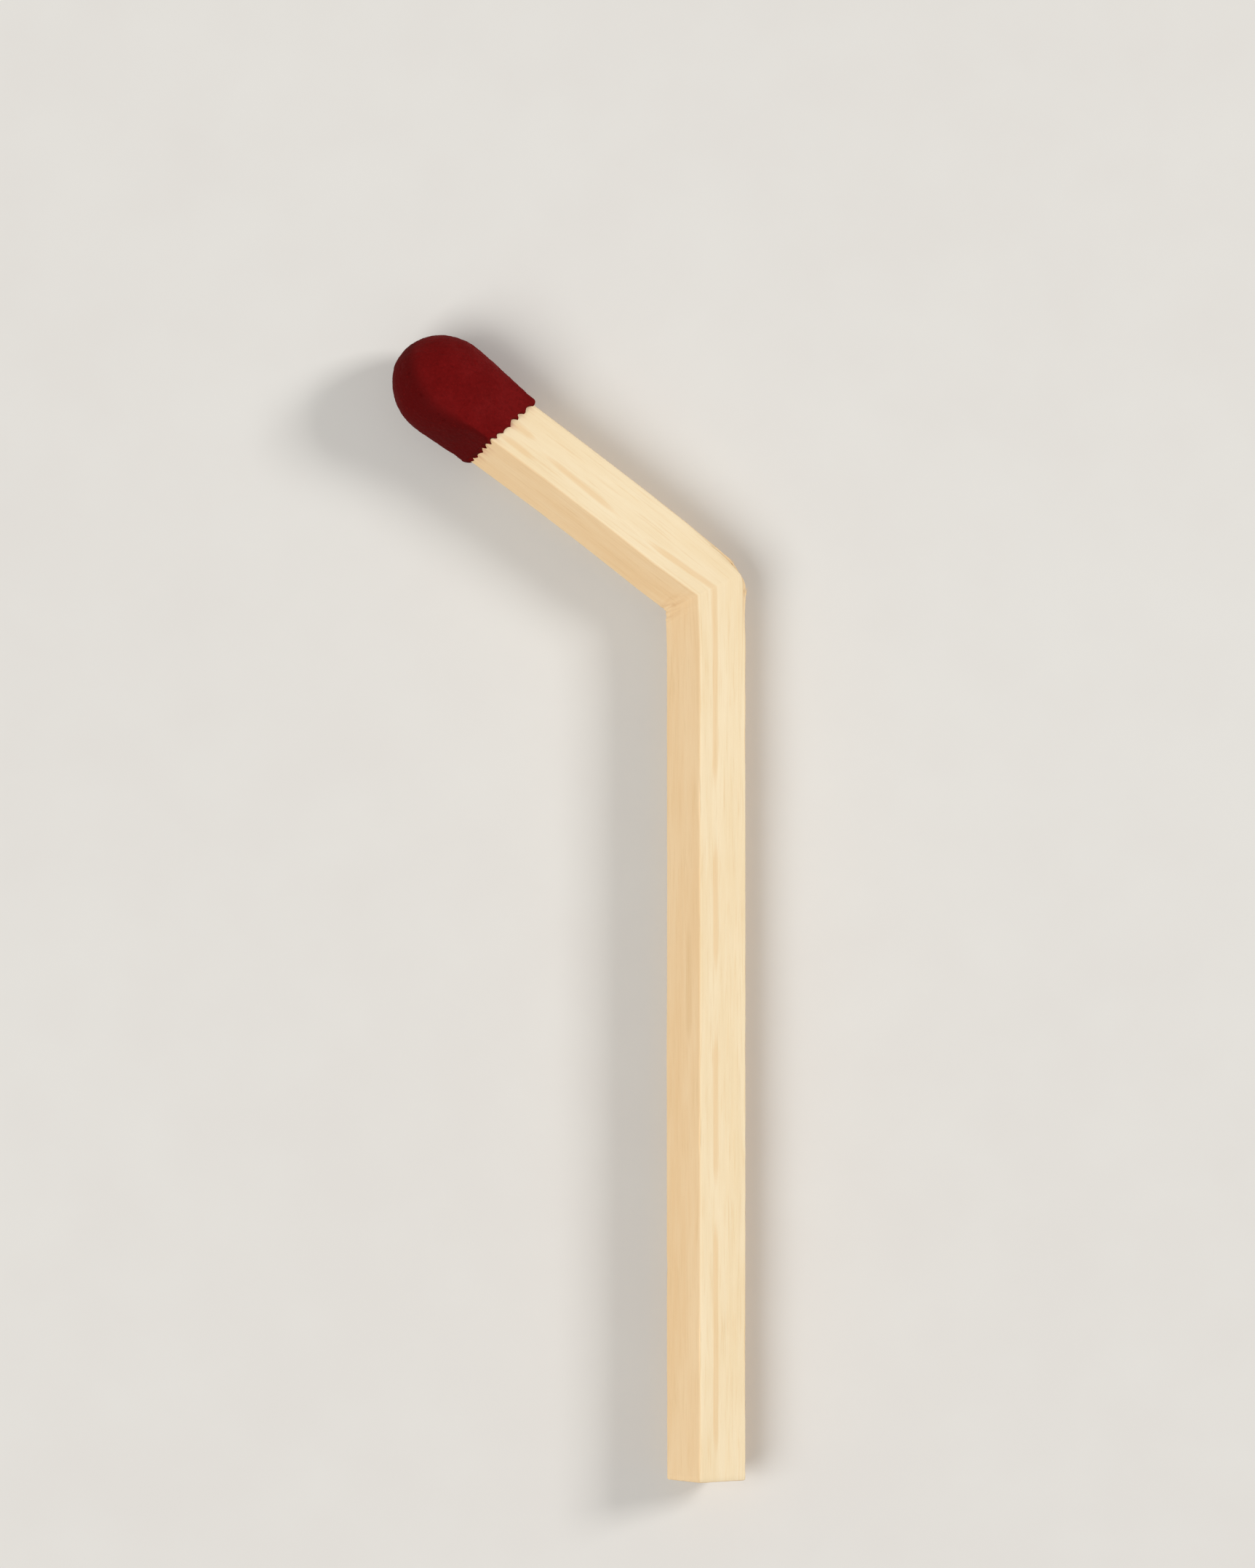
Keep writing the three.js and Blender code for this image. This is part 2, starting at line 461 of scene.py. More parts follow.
def evenly(start, end, step):
    count = max(1, round((end - start) / step))
    return [start + (end - start) * index / count for index in range(count)]


def stick_stations():
    """(distance along the stick, size of the section) for each ring, from the middle of the cut end."""
    cut = [(-STEM_LENGTH, (ring + 1) / CUT_END_RINGS) for ring in range(CUT_END_RINGS - 1)]
    cut.append((-STEM_LENGTH, 1 - 2 * CUT_ROUND / STICK_SIDE))
    run = evenly(-STEM_LENGTH + CUT_ROUND, -LOOSE_RUN, STEM_STEP)
    run += evenly(-LOOSE_RUN, LOOSE_RUN, BREAK_STEP)
    run += evenly(LOOSE_RUN, ARM_LENGTH + DIP_LENGTH, STEM_STEP)
    run.append(ARM_LENGTH + DIP_LENGTH)
    return cut + [(along, 1) for along in run]


def straight_stick():
    """The stick before it was snapped, with the kink to come at the origin."""
    outline = square_outline()
    rings = []
    for along, size in stick_stations():
        rings.append([Vector((point.x * size, along, point.y * size)) for point in outline])
    cut_middle = Vector((0, -STEM_LENGTH, 0))
    hidden_middle = Vector((0, ARM_LENGTH + DIP_LENGTH, 0))
    return skin("splint_wood", rings, cut_middle, hidden_middle)


def between(first, second, share):
    return first + (second - first) * share


def head_profile():
    """(distance from the rim, half width, squareness, share of the way outside) for each ring."""
    half_socket = arm_side / 2 - BOND_DEPTH
    half_rim = arm_side / 2 + RIM_WALL
    half_bulb = math.sqrt(2) * (arm_side / 2 - ARRIS) + ARRIS + EDGE_COVER
    profile = [(DIP_LENGTH, half_socket, SOCKET_SQUARENESS, 0)]
    for step in range(LIP_STEPS + 1):
        angle = RIGHT_ANGLE * step / LIP_STEPS
        share = math.sin(angle)
        along = RIM_ROUND * (1 - math.cos(angle))
        half_width = between(half_socket, half_rim, share)
        squareness = 1 / between(1 / SOCKET_SQUARENESS, 1 / RIM_SQUARENESS, share)
        profile.append((along, half_width, squareness, share))
    for step in range(1, SWELL_STEPS + 1):
        share = step / SWELL_STEPS
        swell = share * share * (3 - 2 * share)
        along = between(RIM_ROUND, DIP_LENGTH, share)
        half_width = between(half_rim, half_bulb, swell)
        squareness = 1 / between(1 / RIM_SQUARENESS, 1 / ROUND, swell)
        profile.append((along, half_width, squareness, 1))
    for step in range(1, NOSE_STEPS):
        angle = RIGHT_ANGLE * step / NOSE_STEPS
        along = DIP_LENGTH + TIP_COVER * math.sin(angle)
        profile.append((along, half_bulb * math.cos(angle), ROUND, 1))
    return profile


def blunt_point(angle, half_width, squareness):
    """A point of an outline that is round at a squareness of two and nearly square when it is high."""
    total = abs(math.cos(angle)) ** squareness + abs(math.sin(angle)) ** squareness
    return Vector((math.cos(angle), math.sin(angle))) * half_width / total ** (1 / squareness)


def flats_round(angle):
    """How far round the rim a direction points, in flats, so that what is spaced by it is evenly wide."""
    flat = round(angle / RIGHT_ANGLE)
    return flat + math.tan(angle - flat * RIGHT_ANGLE) / 2


def straight_head():
    """The head before it dried uneven: a cup with its rim at the origin, turned as the arm is."""
    turn = Matrix.Rotation(-arm_turn, 2)
    angles = [2 * math.pi * side / HEAD_SIDES for side in range(HEAD_SIDES)]
    rings, outside, around = [], [], []
    for along, half_width, squareness, shown in head_profile():
        points = [turn @ blunt_point(angle, half_width, squareness) for angle in angles]
        rings.append([Vector((point.x, along, point.y)) for point in points])
        outside += [shown] * HEAD_SIDES
        around += [flats_round(angle) for angle in angles]
    socket_floor = Vector((0, DIP_LENGTH, 0))
    tip = Vector((0, DIP_LENGTH + TIP_COVER, 0))
    notes = {"outside": outside + [0, 1], "around": around + [0, 0]}
    return skin("head_compound", rings, socket_floor, tip, notes)


# What happened to them

def snapped_splint_tree():
    """Snaps a straight stick: its arm turns aside, twists and swells, and the grain lifts and parts."""
    tree, size = new_tree("snapped_splint", [
        "Side", "Arris", "Turn", "Kink", "Bow",
        "Arm Length", "Arm Twist", "Arm Swell", "Loose Run", "Stem Length",
        "Corner Aim", "Corner Face", "Corner Softness", "Tear Depth",
        "Fibre Depth", "Wave Depth", "Nick Depth", "Crack Depth", "Crush Depth", "Cut Depth"])
    across, along, up = parts(tree, position(tree))

    # The section, turned on its edge and twisted through the loosened run
    share = ((along / size["Loose Run"] + 1) / 2).most(0).least(1)
    turn = size["Turn"] - size["Arm Twist"] * share
    swell = 1 + size["Arm Swell"] / size["Side"] * share
    aside = (across * turn.cos() + up * turn.sin()) * swell
    higher = (up * turn.cos() - across * turn.sin()) * swell
    stand = ((size["Side"] / 2 - size["Arris"]) * (turn.sin() + turn.cos()) + size["Arris"]) * swell

    # The kink, with its sections leaning into the mitre, and the slight bow of the arm
    lean = aside * (size["Kink"] / 2).tan() * (1 - abs(along) / size["Loose Run"]).most(0)
    distance = along - lean
    bowed = distance.least(size["Arm Length"])
    heading = size["Kink"] + size["Bow"] * bowed / size["Arm Length"]
    chord = (size["Kink"] + heading) / 2
    past_rim = distance - bowed
    end_heading = size["Kink"] + size["Bow"]
    arm_x = aside * heading.cos() - bowed * chord.sin() - past_rim * end_heading.sin()
    arm_y = aside * heading.sin() + bowed * chord.cos() + past_rim * end_heading.cos()
    on_arm = along.above(0)
    x = on_arm.mixed(aside, arm_x)
    y = on_arm.mixed(along + lean, arm_y)

    # The outer corner of the kink, where the fibres tore and were pressed flat
    straight = in_mm(tree, position(tree))
    tear = (noise(tree, straight, TEAR_PATTERN) - 0.5) * size["Tear Depth"]
    proud = x * size["Corner Aim"].cos() + y * size["Corner Aim"].sin() - size["Corner Face"] + tear
    pressed = (proud + (proud ** 2 + size["Corner Softness"] ** 2) ** 0.5) / 2
    x = x - size["Corner Aim"].cos() * pressed
    y = y - size["Corner Aim"].sin() * pressed

    # Notes for the relief, the slivers and the wood's colour
    from_kink = abs(along) / MM
    inner = (0 - aside * 2 / size["Side"]).most(0)
    crushed = from_kink.eased(0, CRUSH_REACH, 1, 0) * inner
    outer = (across * 2 / size["Side"]).eased(0.75, 1.0)
    stretched = from_kink.eased(0, STRETCH_REACH, 1, 0) * outer
    stick = note(tree, size["Geometry"], "straight_mm", straight, "FLOAT_VECTOR")
    stick = note(tree, stick, "heading", on_arm * heading)
    stick = note(tree, stick, "crushed", crushed)
    stick = note(tree, stick, "stretched", stretched)
    stick = placed(tree, stick, vector_of(tree, x, y, higher + stand))
    end_tree(tree, wood_relief(tree, size, stick), size["Material"])
    return tree


def wood_relief(tree, size, stick):
    """Raises the grain on the snapped stick: fibres along it, worn edges, cracks and crushed folds."""
    straight = noted(tree, "straight_mm", "FLOAT_VECTOR")
    across, along, up = parts(tree, straight)
    crushed = Field(tree, noted(tree, "crushed"))
    stretched = Field(tree, noted(tree, "stretched"))
    fibres = (noise(tree, straight, FIBRE_PATTERN, 3) - 0.5) * size["Fibre Depth"]
    waves = (noise(tree, straight, WAVE_PATTERN) - 0.5) * size["Wave Depth"]
    near_edge = (abs(across).least(abs(up)) * MM * 2 / size["Side"]).eased(0.86, 0.96)
    worn = (near_edge * noise(tree, straight, NICK_PATTERN, 3)).eased(0.5, 0.75)
    parting = abs(noise(tree, straight, PARTING_PATTERN, 1) - 0.5).eased(0.015, 0.07, 1, 0)
    cracks = parting * stretched
    folds = (noise(tree, straight, FOLD_PATTERN) - 0.5) * crushed * size["Crush Depth"]
    side = fibres + waves + folds - worn * size["Nick Depth"] - cracks * size["Crack Depth"]
    cut_face = (along * MM + size["Stem Length"]).eased(*CUT_SKIN, 1, 0)
    end_grain = (noise(tree, straight, CUT_PATTERN, 3, 0.6) - 0.5) * size["Cut Depth"]
    stick = note(tree, stick, "crack", cracks)
    return raised(tree, stick, cut_face.mixed(side, end_grain))


def torn_fibres_tree():
    """Fine slivers that have lifted from the torn wood and point to the break, clear of the floor."""
    tree, size = new_tree("torn_fibres", ["Length", "Half Width", "Bend", "Density"])
    stretched = Field(tree, noted(tree, "stretched"))
    along = parts(tree, noted(tree, "straight_mm", "FLOAT_VECTOR"))[1]
    height = parts(tree, in_mm(tree, position(tree)))[2]
    torn = stretched ** 2 * abs(along).eased(0.2, 0.6) * height.eased(0.1, 0.4)
    spread = put(tree, "GeometryNodeDistributePointsOnFaces", {
        "Mesh": size["Geometry"], "Density": torn * size["Density"], "Seed": SLIVER_PLACE_SEED}).outputs
    heading = Field(tree, noted(tree, "heading"))
    to_break = 0 - calc(tree, "SIGN", along)
    way = lengthened(tree, vector_of(tree, 0 - heading.sin(), heading.cos(), 0.0), to_break)
    lift = lengthened(tree, spread["Normal"], chance(tree, *SLIVER_LIFT, SLIVER_LIFT_SEED))
    aim = put(tree, "ShaderNodeVectorMath", {0: way, 1: lift}, operation="ADD").outputs[0]
    turn = put(tree, "FunctionNodeAlignRotationToVector", {"Vector": aim}, axis="Z").outputs[0]

    # One sliver, tapered to its tip
    tip = vector_of(tree, 0.0, 0.0, size["Length"])
    line = put(tree, "GeometryNodeCurvePrimitiveLine", {"End": tip}).outputs[0]
    line = put(tree, "GeometryNodeResampleCurve", {"Curve": line, "Count": SLIVER_POINTS}).outputs[0]
    share = Field(tree, put(tree, "GeometryNodeSplineParameter").outputs["Factor"])
    bend = vector_of(tree, share ** 2 * size["Bend"], 0.0, 0.0)
    line = put(tree, "GeometryNodeSetPosition", {"Geometry": line, "Offset": bend}).outputs[0]
    section = {"Resolution": SLIVER_SIDES, "Radius": size["Half Width"]}
    ring = put(tree, "GeometryNodeCurvePrimitiveCircle", section).outputs[0]
    sliver = put(tree, "GeometryNodeCurveToMesh", {
        "Curve": line, "Profile Curve": ring,
        "Scale": 1 + SLIVER_TIP - share, "Fill Caps": True}).outputs[0]

    length = chance(tree, SLIVER_SHORTEST, 1, SLIVER_LENGTH_SEED)
    scale = vector_of(tree, SLIVER_BREADTH, SLIVER_FLATNESS, length)
    slivers = put(tree, "GeometryNodeInstanceOnPoints", {
        "Points": spread["Points"], "Instance": sliver, "Rotation": turn, "Scale": scale}).outputs[0]
    end_tree(tree, slivers, size["Material"])
    return tree


def chance(tree, low, high, seed):
    """A number of its own for each point. The node's inputs 2 and 3 are its limits, and 8 is its seed."""
    inputs = {2: float(low), 3: float(high), 8: seed}
    return Field(tree, put(tree, "FunctionNodeRandomValue", inputs, data_type="FLOAT").outputs[1])


def two_waves(turn, listed):
    """Two waves round the rim, added up, each with its count in a turn, its start and its height."""
    first, second = [(turn * count + start).sin() * height for count, start, height in listed]
    return first + second


def dried_dip_tree():
    """Dries a straight head: its rim draws back in bites, its mouth slants, and its skin is gritty."""
    tree, size = new_tree("dried_dip", [
        "Bites", "Bite Depth", "Bite Reach", "Slant", "Slant Reach", "Lean",
        "Lump Depth", "Grit Depth", "Pit Depth"])
    across, along, up = parts(tree, position(tree))
    outside = Field(tree, noted(tree, "outside"))
    turn = Field(tree, noted(tree, "around")) * RIGHT_ANGLE

    # Round bites with a sharp drip between each two, no two alike
    shifted = turn * size["Bites"] / 2 + two_waves(turn, BITE_SHIFTS)
    bite_size = two_waves(turn, BITE_SIZES) + MEAN_BITE
    bite = abs(shifted.sin()) ** BITE_BLUNTNESS * bite_size * size["Bite Depth"]
    near_rim = (1 - along / size["Bite Reach"]).most(0) ** 2
    slant = across * size["Slant"].tan() * along.eased(0, size["Slant Reach"], 1, 0)
    reach = along + bite * near_rim - slant
    lean = size["Lean"] * outside
    x = across * lean.cos() + reach * lean.sin()
    y = reach * lean.cos() - across * lean.sin()
    head = placed(tree, size["Geometry"], vector_of(tree, x, y, up))

    # Its side painted lighter toward the light and darker away from it, as painted light and shade, and its
    # skin of lumps, grit and pits
    normal = put(tree, "GeometryNodeInputNormal").outputs[0]
    facing = put(tree, "ShaderNodeVectorMath", {0: normal, 1: PAINTED_LIGHT_SIDE}, operation="DOT_PRODUCT")
    head = note(tree, head, "painted_light", Field(tree, facing.outputs["Value"]))
    place = in_mm(tree, position(tree))
    lumps = (noise(tree, place, LUMP_PATTERN, 1) - 0.5) * size["Lump Depth"]
    grit = (noise(tree, place, GRIT_PATTERN, 3, 0.6) - 0.5) * size["Grit Depth"]
    pits = noise(tree, place, PIT_PATTERN, 1).eased(0.66, 0.76) * size["Pit Depth"]
    end_tree(tree, raised(tree, head, (lumps + grit - pits) * outside), size["Material"])
    return tree


# Colours

def srgb(red, green, blue):
    """A colour as seen, in parts of 255, as the linear colour that a shader takes."""
    def linear(part):
        part /= 255
        return part / 12.92 if part <= 0.04045 else ((part + 0.055) / 1.055) ** 2.4
    return (linear(red), linear(green), linear(blue), 1.0)


CREAM = srgb(246, 226, 189)
DEEP_CREAM = srgb(241, 217, 175)
# The chopped sides' warmer creams: partly their own tone, partly painted shade
SIDE_CREAM_WITH_PAINTED_SHADE = srgb(249, 216, 169)
DEEP_SIDE_CREAM_WITH_PAINTED_SHADE = srgb(244, 206, 155)
FIBRE_TAN = srgb(228, 192, 140)
STREAK_TAN = srgb(233, 196, 145)
CUT_CREAM = srgb(248, 221, 176)
RING_TAN = srgb(236, 202, 152)
PORE_BROWN = srgb(208, 166, 116)
BRUISE_BROWN = srgb(202, 152, 100)
CRACK_BROWN = srgb(206, 158, 104)
STAIN_RED = srgb(196, 110, 86)
# The head's reds: the two lighter ones are painted light on the side toward the light, the darker one is
# painted shade on the side away from it
PAINTED_LIT_RED = srgb(111, 12, 12)
DEEP_PAINTED_LIT_RED = srgb(101, 9, 9)
PAINTED_SHADE_RED = srgb(87, 6, 6)
GAP_RED = srgb(78, 6, 6)
GRAIN_RED = srgb(136, 26, 22)
FLOOR_GREY = srgb(224, 221, 215)
DEEP_FLOOR_GREY = srgb(221, 217, 211)


# Materials

def new_material(name):
    material = bpy.data.materials.new(name)
    material.use_nodes = True
    return material, material.node_tree, material.node_tree.nodes["Principled BSDF"]


def new_group(name, inputs):
    """A shader node group that puts out one share, with its inputs as Fields."""
    group = bpy.data.node_groups.new(name, "ShaderNodeTree")
    for title, kind in inputs.items():
        group.interface.new_socket(title, in_out="INPUT", socket_type=kind)
    group.interface.new_socket("Share", in_out="OUTPUT", socket_type="NodeSocketFloat")
    given = put(group, "NodeGroupInput").outputs
    return group, {title: Field(group, given[title]) for title in inputs}


def use_group(tree, group, inputs):
    return Field(tree, put(tree, "ShaderNodeGroup", inputs, node_tree=group).outputs[0])


def read_note(tree, name):
    """A number that was noted on the mesh, as a material reads it."""
    return Field(tree, put(tree, "ShaderNodeAttribute", attribute_name=name).outputs["Fac"])


def blend(tree, share, first, second):
    """Two colours mixed by a share. The node's inputs 6 and 7 and its output 2 are the colours."""
    return put(tree, "ShaderNodeMix", {0: share, 6: first, 7: second}, data_type="RGBA").outputs[2]


def mottle_group():
    """Uneven colour over a surface at a broad and a fine scale, for the wood, the head and the floor."""
    group, given = new_group("mottle", {
        "Vector": "NodeSocketVector", "Broad Scale": "NodeSocketFloat",
        "Fine Scale": "NodeSocketFloat", "Fine Share": "NodeSocketFloat"})
    broad = {"Vector": given["Vector"], "Scale": given["Broad Scale"], "Detail": 2.0}
    fine = {"Vector": given["Vector"], "Scale": given["Fine Scale"], "Detail": 3.0}
    broad = Field(group, put(group, "ShaderNodeTexNoise", broad).outputs[0])
    fine = Field(group, put(group, "ShaderNodeTexNoise", fine).outputs[0])
    put(group, "NodeGroupOutput", {0: given["Fine Share"].mixed(broad, fine).eased(0.3, 0.7)})
    return group


def streak_group():
    """One soft streak in the grain, from its start to its end along the stick, tapered to both."""
    names = ("Across", "Along", "Start", "End", "Start Across", "End Across", "Width")
    group, given = new_group("grain_streak", {name: "NodeSocketFloat" for name in names})
    length = given["End"] - given["Start"]
    taper = (length * TAPER_SHARE).least(LONGEST_TAPER)
    run = (given["Along"] - given["Start"]) / length
    place = vector_of(group, given["Along"], given["Start"], 0.0)
    wander = (noise(group, place, STREAK_WANDER_PATTERN) - 0.5) * STREAK_WANDER
    middle = run.mixed(given["Start Across"], given["End Across"]) + wander
    into = (given["Along"] - given["Start"]).eased(0, taper)
    out = (given["End"] - given["Along"]).eased(0, taper)
    half = given["Width"] * (into * out * 0.7 + 0.3)
    band = 1 - (abs(given["Across"] - middle) / half).eased(0.35, 1)
    put(group, "NodeGroupOutput", {0: band * into * out})
    return group


def sound_wood(tree, mottle, straight, fibres):
    """The colour of the upper and lower faces and the warmer chopped sides, their warmth partly their own
    tone and partly painted shade, with fine fibres in it.
    """
    across, up = parts(tree, straight)[::2]
    mottling = use_group(tree, mottle, {
        "Vector": scaled(tree, straight, MOTTLE_STRETCH),
        "Broad Scale": 1.1, "Fine Scale": 5.0, "Fine Share": 0.35})
    # The chopped sides' warmer cream is partly their own tone and partly painted shade
    on_side = (abs(across) - abs(up)).eased(-0.06, 0.06)
    face_colour = blend(tree, mottling, CREAM, DEEP_CREAM)
    side_colour = blend(tree, mottling, SIDE_CREAM_WITH_PAINTED_SHADE, DEEP_SIDE_CREAM_WITH_PAINTED_SHADE)
    colour = blend(tree, on_side * SIDE_TINT, face_colour, side_colour)
    return blend(tree, fibres.eased(0.5, 0.75, 0, FIBRE_TINT), colour, FIBRE_TAN)


def streaked(tree, streak, straight, colour):
    """Adds the streaks, where they show and on the two faces turned away."""
    across, along, up = parts(tree, straight)
    turned_away = (across.most(0 - up) * MM * 2 / STICK_SIDE).eased(0.88, 0.98)
    streaks = turned_away * noise(tree, straight, HIDDEN_STREAK_PATTERN, 1).eased(0.56, 0.68)
    for on_face, listed, width in (
            (across, UPPER_STREAKS, UPPER_STREAK_WIDTH), (up, SIDE_STREAKS, SIDE_STREAK_WIDTH)):
        for start, end, start_across, end_across in listed:
            streaks = streaks.most(use_group(tree, streak, {
                "Across": on_face, "Along": along, "Start": start, "End": end,
                "Start Across": start_across, "End Across": end_across, "Width": width}))
    return blend(tree, streaks * STREAK_TINT, colour, STREAK_TAN)


def cut_across(tree, straight, colour):
    """Adds the end grain on the cut end, with its rings, pores and knife marks."""
    along = parts(tree, straight)[1]
    on_cut = (along * MM + STEM_LENGTH).eased(*CUT_SKIN, 1, 0)
    pores = grains(tree, straight, PORE_PATTERN).eased(0.1, 0.5, PORE_TINT, 0)
    rings = noise(tree, straight, RING_PATTERN, 1).eased(0.35, 0.65, 0, RING_TINT)
    knife_marks = noise(tree, straight, KNIFE_MARK_PATTERN, 2).eased(0.5, 0.75, 0, KNIFE_MARK_TINT)
    end_grain = blend(tree, rings, CUT_CREAM, RING_TAN)
    end_grain = blend(tree, pores.most(knife_marks), end_grain, PORE_BROWN)
    return blend(tree, on_cut, colour, end_grain)


def bruised(tree, straight, colour):
    """Adds the bruise, darker brown streaks where the crease is crushed, and darker brown in the cracks."""
    from_bruise = put(tree, "ShaderNodeVectorMath", {0: straight, 1: BRUISE_PLACE}, operation="DISTANCE")
    bruise = Field(tree, from_bruise.outputs["Value"]).eased(0.04, 0.22, BRUISE_TINT, 0)
    folds = noise(tree, straight, BRUISE_PATTERN).eased(0.4, 0.7)
    crushed = read_note(tree, "crushed").eased(0.3, 1.3) * folds * BRUISE_TINT
    colour = blend(tree, bruise.most(crushed), colour, BRUISE_BROWN)
    return blend(tree, read_note(tree, "crack") * CRACK_TINT, colour, CRACK_BROWN)


def stained(tree, straight, colour):
    """Adds a little red from the dip, drawn into the fibres at the rim."""
    across, along, up = parts(tree, straight)
    aside = across * math.cos(arm_turn) + up * math.sin(arm_turn)
    to_rim = along + aside * math.tan(RIM_SLANT) - ARM_LENGTH / MM
    stain = to_rim.eased(-0.4, 0.2) * noise(tree, straight, STAIN_PATTERN).eased(0.4, 0.7) * STAIN_TINT
    return blend(tree, stain, colour, STAIN_RED)


def pale_wood(mottle, streak):
    """Aspen: cream wood with fine fibres and darker streaks, bruised and torn at the kink."""
    material, tree, shader = new_material("pale_wood")
    straight = put(tree, "ShaderNodeAttribute", attribute_name="straight_mm").outputs["Vector"]
    fibres = noise(tree, straight, FINE_FIBRE_PATTERN, 4, 0.6)
    colour = sound_wood(tree, mottle, straight, fibres)
    colour = streaked(tree, streak, straight, colour)
    colour = cut_across(tree, straight, colour)
    colour = bruised(tree, straight, colour)
    colour = stained(tree, straight, colour)
    tree.links.new(colour, shader.inputs["Base Color"])
    waxed = parts(tree, straight)[1].eased(WAX_START, WAX_FULL)
    roughness = fibres.eased(0.3, 0.7, 0.55, 0.75) - waxed * 0.12
    tree.links.new(roughness.socket, shader.inputs["Roughness"])
    shader.inputs["Specular IOR Level"].default_value = 0.25
    bump = put(tree, "ShaderNodeBump", {"Strength": 0.4, "Distance": 0.02 * MM, "Height": fibres})
    tree.links.new(bump.outputs[0], shader.inputs["Normal"])
    return material


def red_compound(mottle):
    """Dried striking compound: matt dark red, darker between its grains, with painted light and shade:
    lighter red toward the light, darker red away from it.
    """
    material, tree, shader = new_material("red_compound")
    place = in_mm(tree, put(tree, "ShaderNodeTexCoord").outputs["Object"])
    mottling = use_group(tree, mottle, {
        "Vector": place, "Broad Scale": 0.9, "Fine Scale": 6.0, "Fine Share": 0.4})
    speckle = noise(tree, place, SPECKLE_PATTERN, 3, 0.65)
    # Painted light and shade: the lighter reds where the head faces the light, the darker red where it
    # faces away
    painted_light = (read_note(tree, "painted_light") + (speckle - 0.5) * 0.5).eased(-0.1, 0.2)
    painted_lit_colour = blend(tree, mottling, PAINTED_LIT_RED, DEEP_PAINTED_LIT_RED)
    colour = blend(tree, painted_light, PAINTED_SHADE_RED, painted_lit_colour)
    colour = blend(tree, speckle.eased(0.45, 0.75, 0, GAP_TINT), colour, GAP_RED)
    colour = blend(tree, speckle.eased(0.3, 0.42, GRAIN_TINT, 0), colour, GRAIN_RED)
    tree.links.new(colour, shader.inputs["Base Color"])
    tree.links.new(mottling.eased(0, 1, 0.72, 0.85).socket, shader.inputs["Roughness"])
    shader.inputs["Specular IOR Level"].default_value = 0.06
    bump = put(tree, "ShaderNodeBump", {"Strength": 0.5, "Distance": 0.025 * MM, "Height": speckle})
    tree.links.new(bump.outputs[0], shader.inputs["Normal"])
    return material


def pale_floor(mottle):
    material, tree, shader = new_material("pale_floor")
    place = put(tree, "ShaderNodeTexCoord").outputs["Object"]
    mottling = use_group(tree, mottle, {
        "Vector": place, "Broad Scale": 20.0, "Fine Scale": 300.0, "Fine Share": 0.4})
    colour = blend(tree, mottling, FLOOR_GREY, DEEP_FLOOR_GREY)
    tree.links.new(colour, shader.inputs["Base Color"])
    shader.inputs["Roughness"].default_value = 0.9
    return material


# The stage: floor, light and camera

def add_floor(material):
    mesh = bpy.data.meshes.new("floor")
    corners = [(-1, -1), (1, -1), (1, 1), (-1, 1)]
    spots = [(x * FLOOR_HALF, y * FLOOR_HALF, cad_box[0].z) for x, y in corners]
    mesh.from_pydata(spots, [], [(0, 1, 2, 3)])
    mesh.materials.append(material)
    add_piece("floor", mesh)


def add_light(name, azimuth, elevation, size, power):
    """A square soft box that faces the middle of the object from one side."""
    lamp = bpy.data.lights.new(name, "AREA")
    lamp.size = size
    lamp.energy = power
    level = math.cos(elevation)
    towards = Vector((level * math.cos(azimuth), level * math.sin(azimuth), math.sin(elevation)))
    light = add_piece(name, lamp)
    light.location = towards * LIGHT_DISTANCE
    light.rotation_euler = towards.to_track_quat("Z", "Y").to_euler()
    light.visible_camera = False


def add_lights():
    add_light("key", KEY_AZIMUTH, KEY_ELEVATION, KEY_SIZE, KEY_POWER)
    add_light("fill", FILL_AZIMUTH, FILL_ELEVATION, FILL_SIZE, FILL_POWER)
    world = bpy.data.worlds.new("studio")
    world.use_nodes = True
    background = world.node_tree.nodes["Background"].inputs
    background["Color"].default_value = WHITE
    background["Strength"].default_value = SURROUND_STRENGTH
    bpy.context.scene.world = world


def add_camera(place):
    """Looks straight down from far off, framed so that the kink falls on its pixel of the picture."""
    data = bpy.data.cameras.new("camera")
    data.lens = LENS_LENGTH
    frame_height = PICTURE_HEIGHT / PIXELS_PER_MM * MM
    kink = place @ Vector((0, 0, section_reach(STICK_SIDE, STICK_TURN)))
    aside = Vector((PICTURE_WIDTH / 2, PICTURE_HEIGHT / 2)) - KINK_PIXEL
    camera = add_piece("camera", data)
    camera.location = kink + Vector((aside.x, -aside.y, 0)) / PIXELS_PER_MM * MM
    camera.location.z = kink.z + data.lens / data.sensor_width * frame_height
    bpy.context.scene.camera = camera


# The match

def lying_place():
    """From the layout, with the stem along -Y from the kink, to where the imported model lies."""
    mounts = {mount["name"]: mount for mount in frame["record"]["mounts"]}
    cut_end = Vector(mounts["stem_cut_end"]["pos_m"])
    side_axis = mounts["stem_side"]["axis"]
    roll = Matrix.Rotation(math.atan2(side_axis[0], side_axis[2]) - STICK_TURN, 4, "Y")
    laid_out = Vector((0, -STEM_LENGTH, section_reach(STICK_SIDE, STICK_TURN)))
    return Matrix.Translation(cut_end - roll @ laid_out) @ roll


def rim_place():
    """From the straight head to the end of the bowed arm."""
    chord = KINK + ARM_BOW / 2
    rim = Vector((-math.sin(chord), math.cos(chord), 0)) * ARM_LENGTH
    rim.z = section_reach(arm_side, arm_turn)
    return Matrix.Translation(rim) @ Matrix.Rotation(splint_end_heading, 4, "Z")


def corner_face():
    """How far the flattened outer corner stands from the middle of the kink."""
    half_way = section_reach(STICK_SIDE + ARM_SWELL / 2, STICK_TURN - ARM_TWIST / 2)
    return half_way / math.cos(KINK / 2) * math.cos(CORNER_AIM - KINK / 2) - CORNER_LOSS


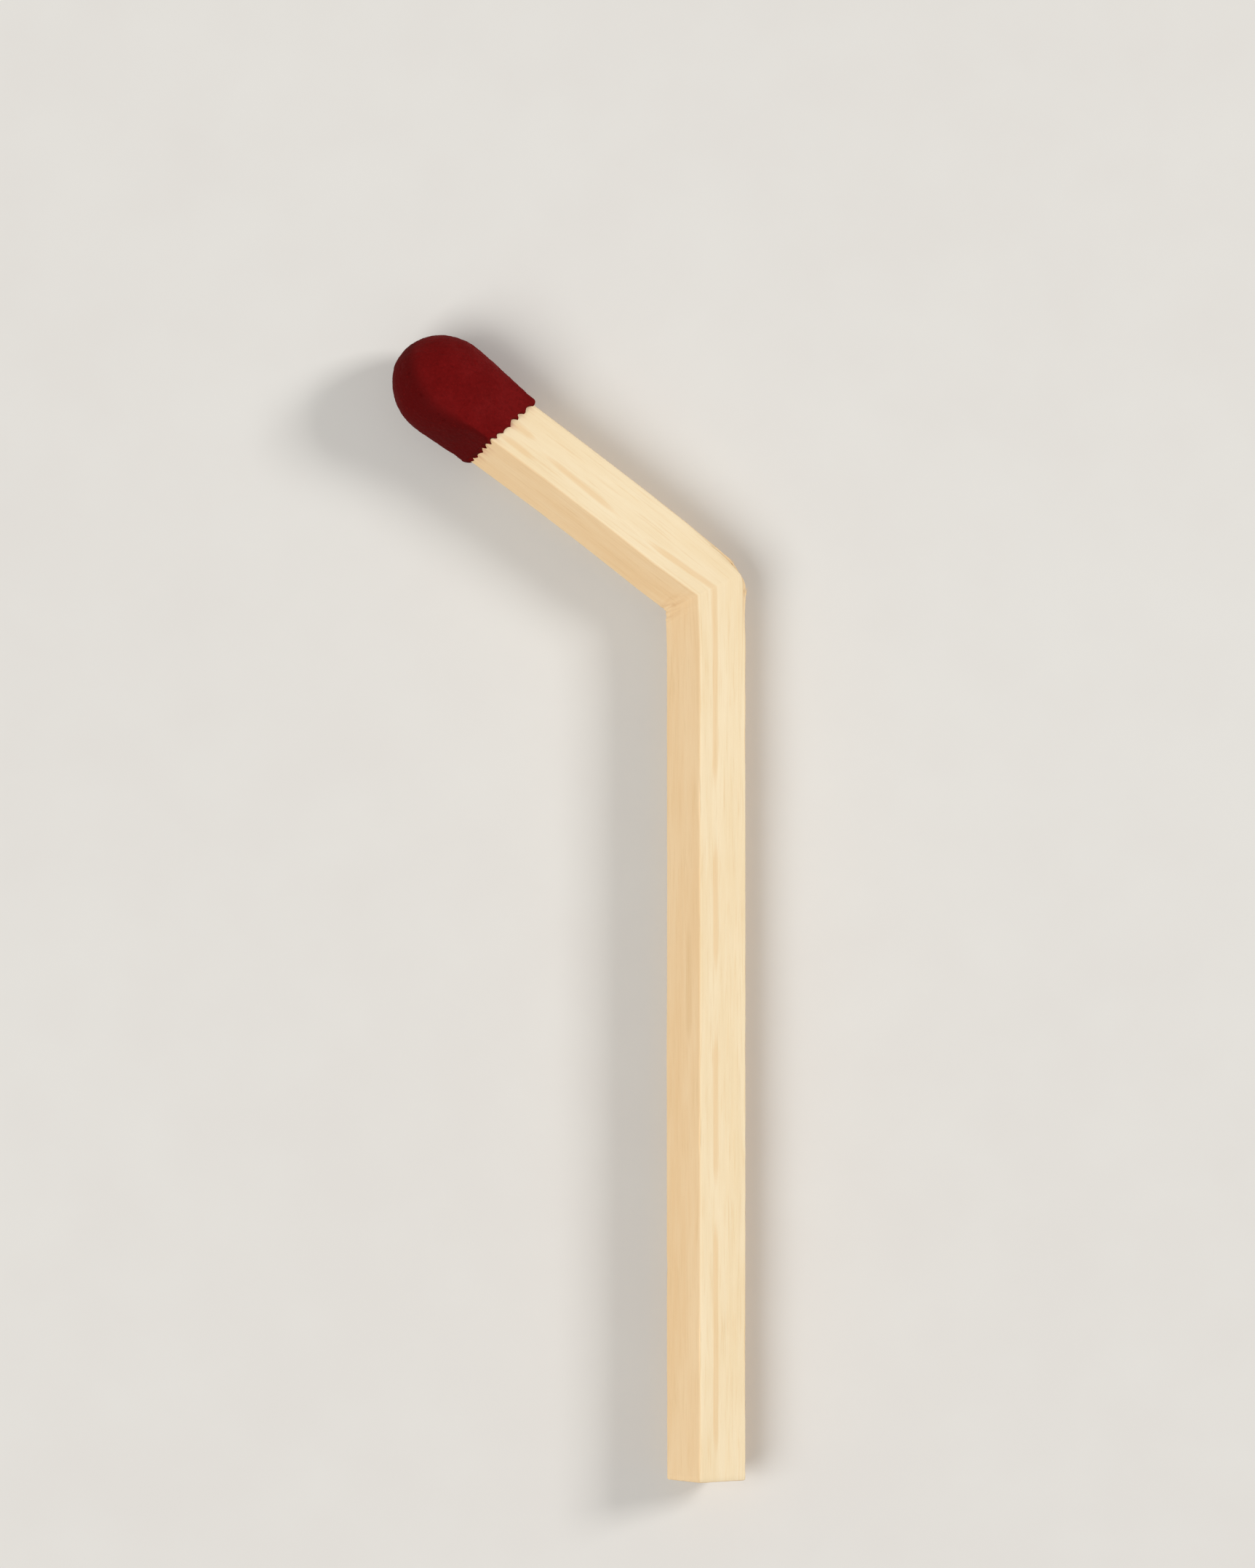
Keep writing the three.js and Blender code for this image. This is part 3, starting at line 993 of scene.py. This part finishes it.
def make_splint(wood):
    splint = straight_stick()
    run_tree(splint, snapped_splint_tree(), {
        "Side": STICK_SIDE, "Arris": ARRIS, "Turn": STICK_TURN, "Kink": KINK, "Bow": ARM_BOW,
        "Arm Length": ARM_LENGTH, "Arm Twist": ARM_TWIST, "Arm Swell": ARM_SWELL, "Loose Run": LOOSE_RUN,
        "Stem Length": STEM_LENGTH, "Corner Aim": CORNER_AIM, "Corner Face": corner_face(),
        "Corner Softness": CORNER_SOFTNESS, "Tear Depth": TEAR_DEPTH, "Fibre Depth": FIBRE_DEPTH,
        "Wave Depth": WAVE_DEPTH, "Nick Depth": NICK_DEPTH, "Crack Depth": CRACK_DEPTH,
        "Crush Depth": CRUSH_DEPTH, "Cut Depth": CUT_DEPTH, "Material": wood})
    return splint


def make_fibres(splint, wood):
    fibres = add_piece("torn_fibres", splint.data.copy())
    run_tree(fibres, torn_fibres_tree(), {
        "Length": SLIVER_LENGTH, "Half Width": SLIVER_HALF_WIDTH, "Bend": SLIVER_BEND,
        "Density": SLIVER_DENSITY, "Material": wood})
    return fibres


def make_head(compound):
    head = straight_head()
    run_tree(head, dried_dip_tree(), {
        "Bites": BITES, "Bite Depth": BITE_DEPTH, "Bite Reach": BITE_REACH,
        "Slant": RIM_SLANT, "Slant Reach": DIP_LENGTH, "Lean": HEAD_LEAN,
        "Lump Depth": LUMP_DEPTH, "Grit Depth": GRIT_DEPTH, "Pit Depth": PIT_DEPTH, "Material": compound})
    return head


def build():
    place = lying_place()
    mottle = mottle_group()
    wood = pale_wood(mottle, streak_group())
    add_camera(place)
    add_lights()
    add_floor(pale_floor(mottle))
    splint = make_splint(wood)
    fibres = make_fibres(splint, wood)
    head = make_head(red_compound(mottle))
    splint.data.transform(place)
    fibres.data.transform(place)
    head.data.transform(place @ rim_place())
    for piece, slot in ((splint, "pale_wood"), (fibres, "pale_wood"), (head, "striking_compound")):
        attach(piece, "root")
    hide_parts("splint")
    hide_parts("match_head")
    bpy.context.scene.view_settings.view_transform = "Standard"


build()
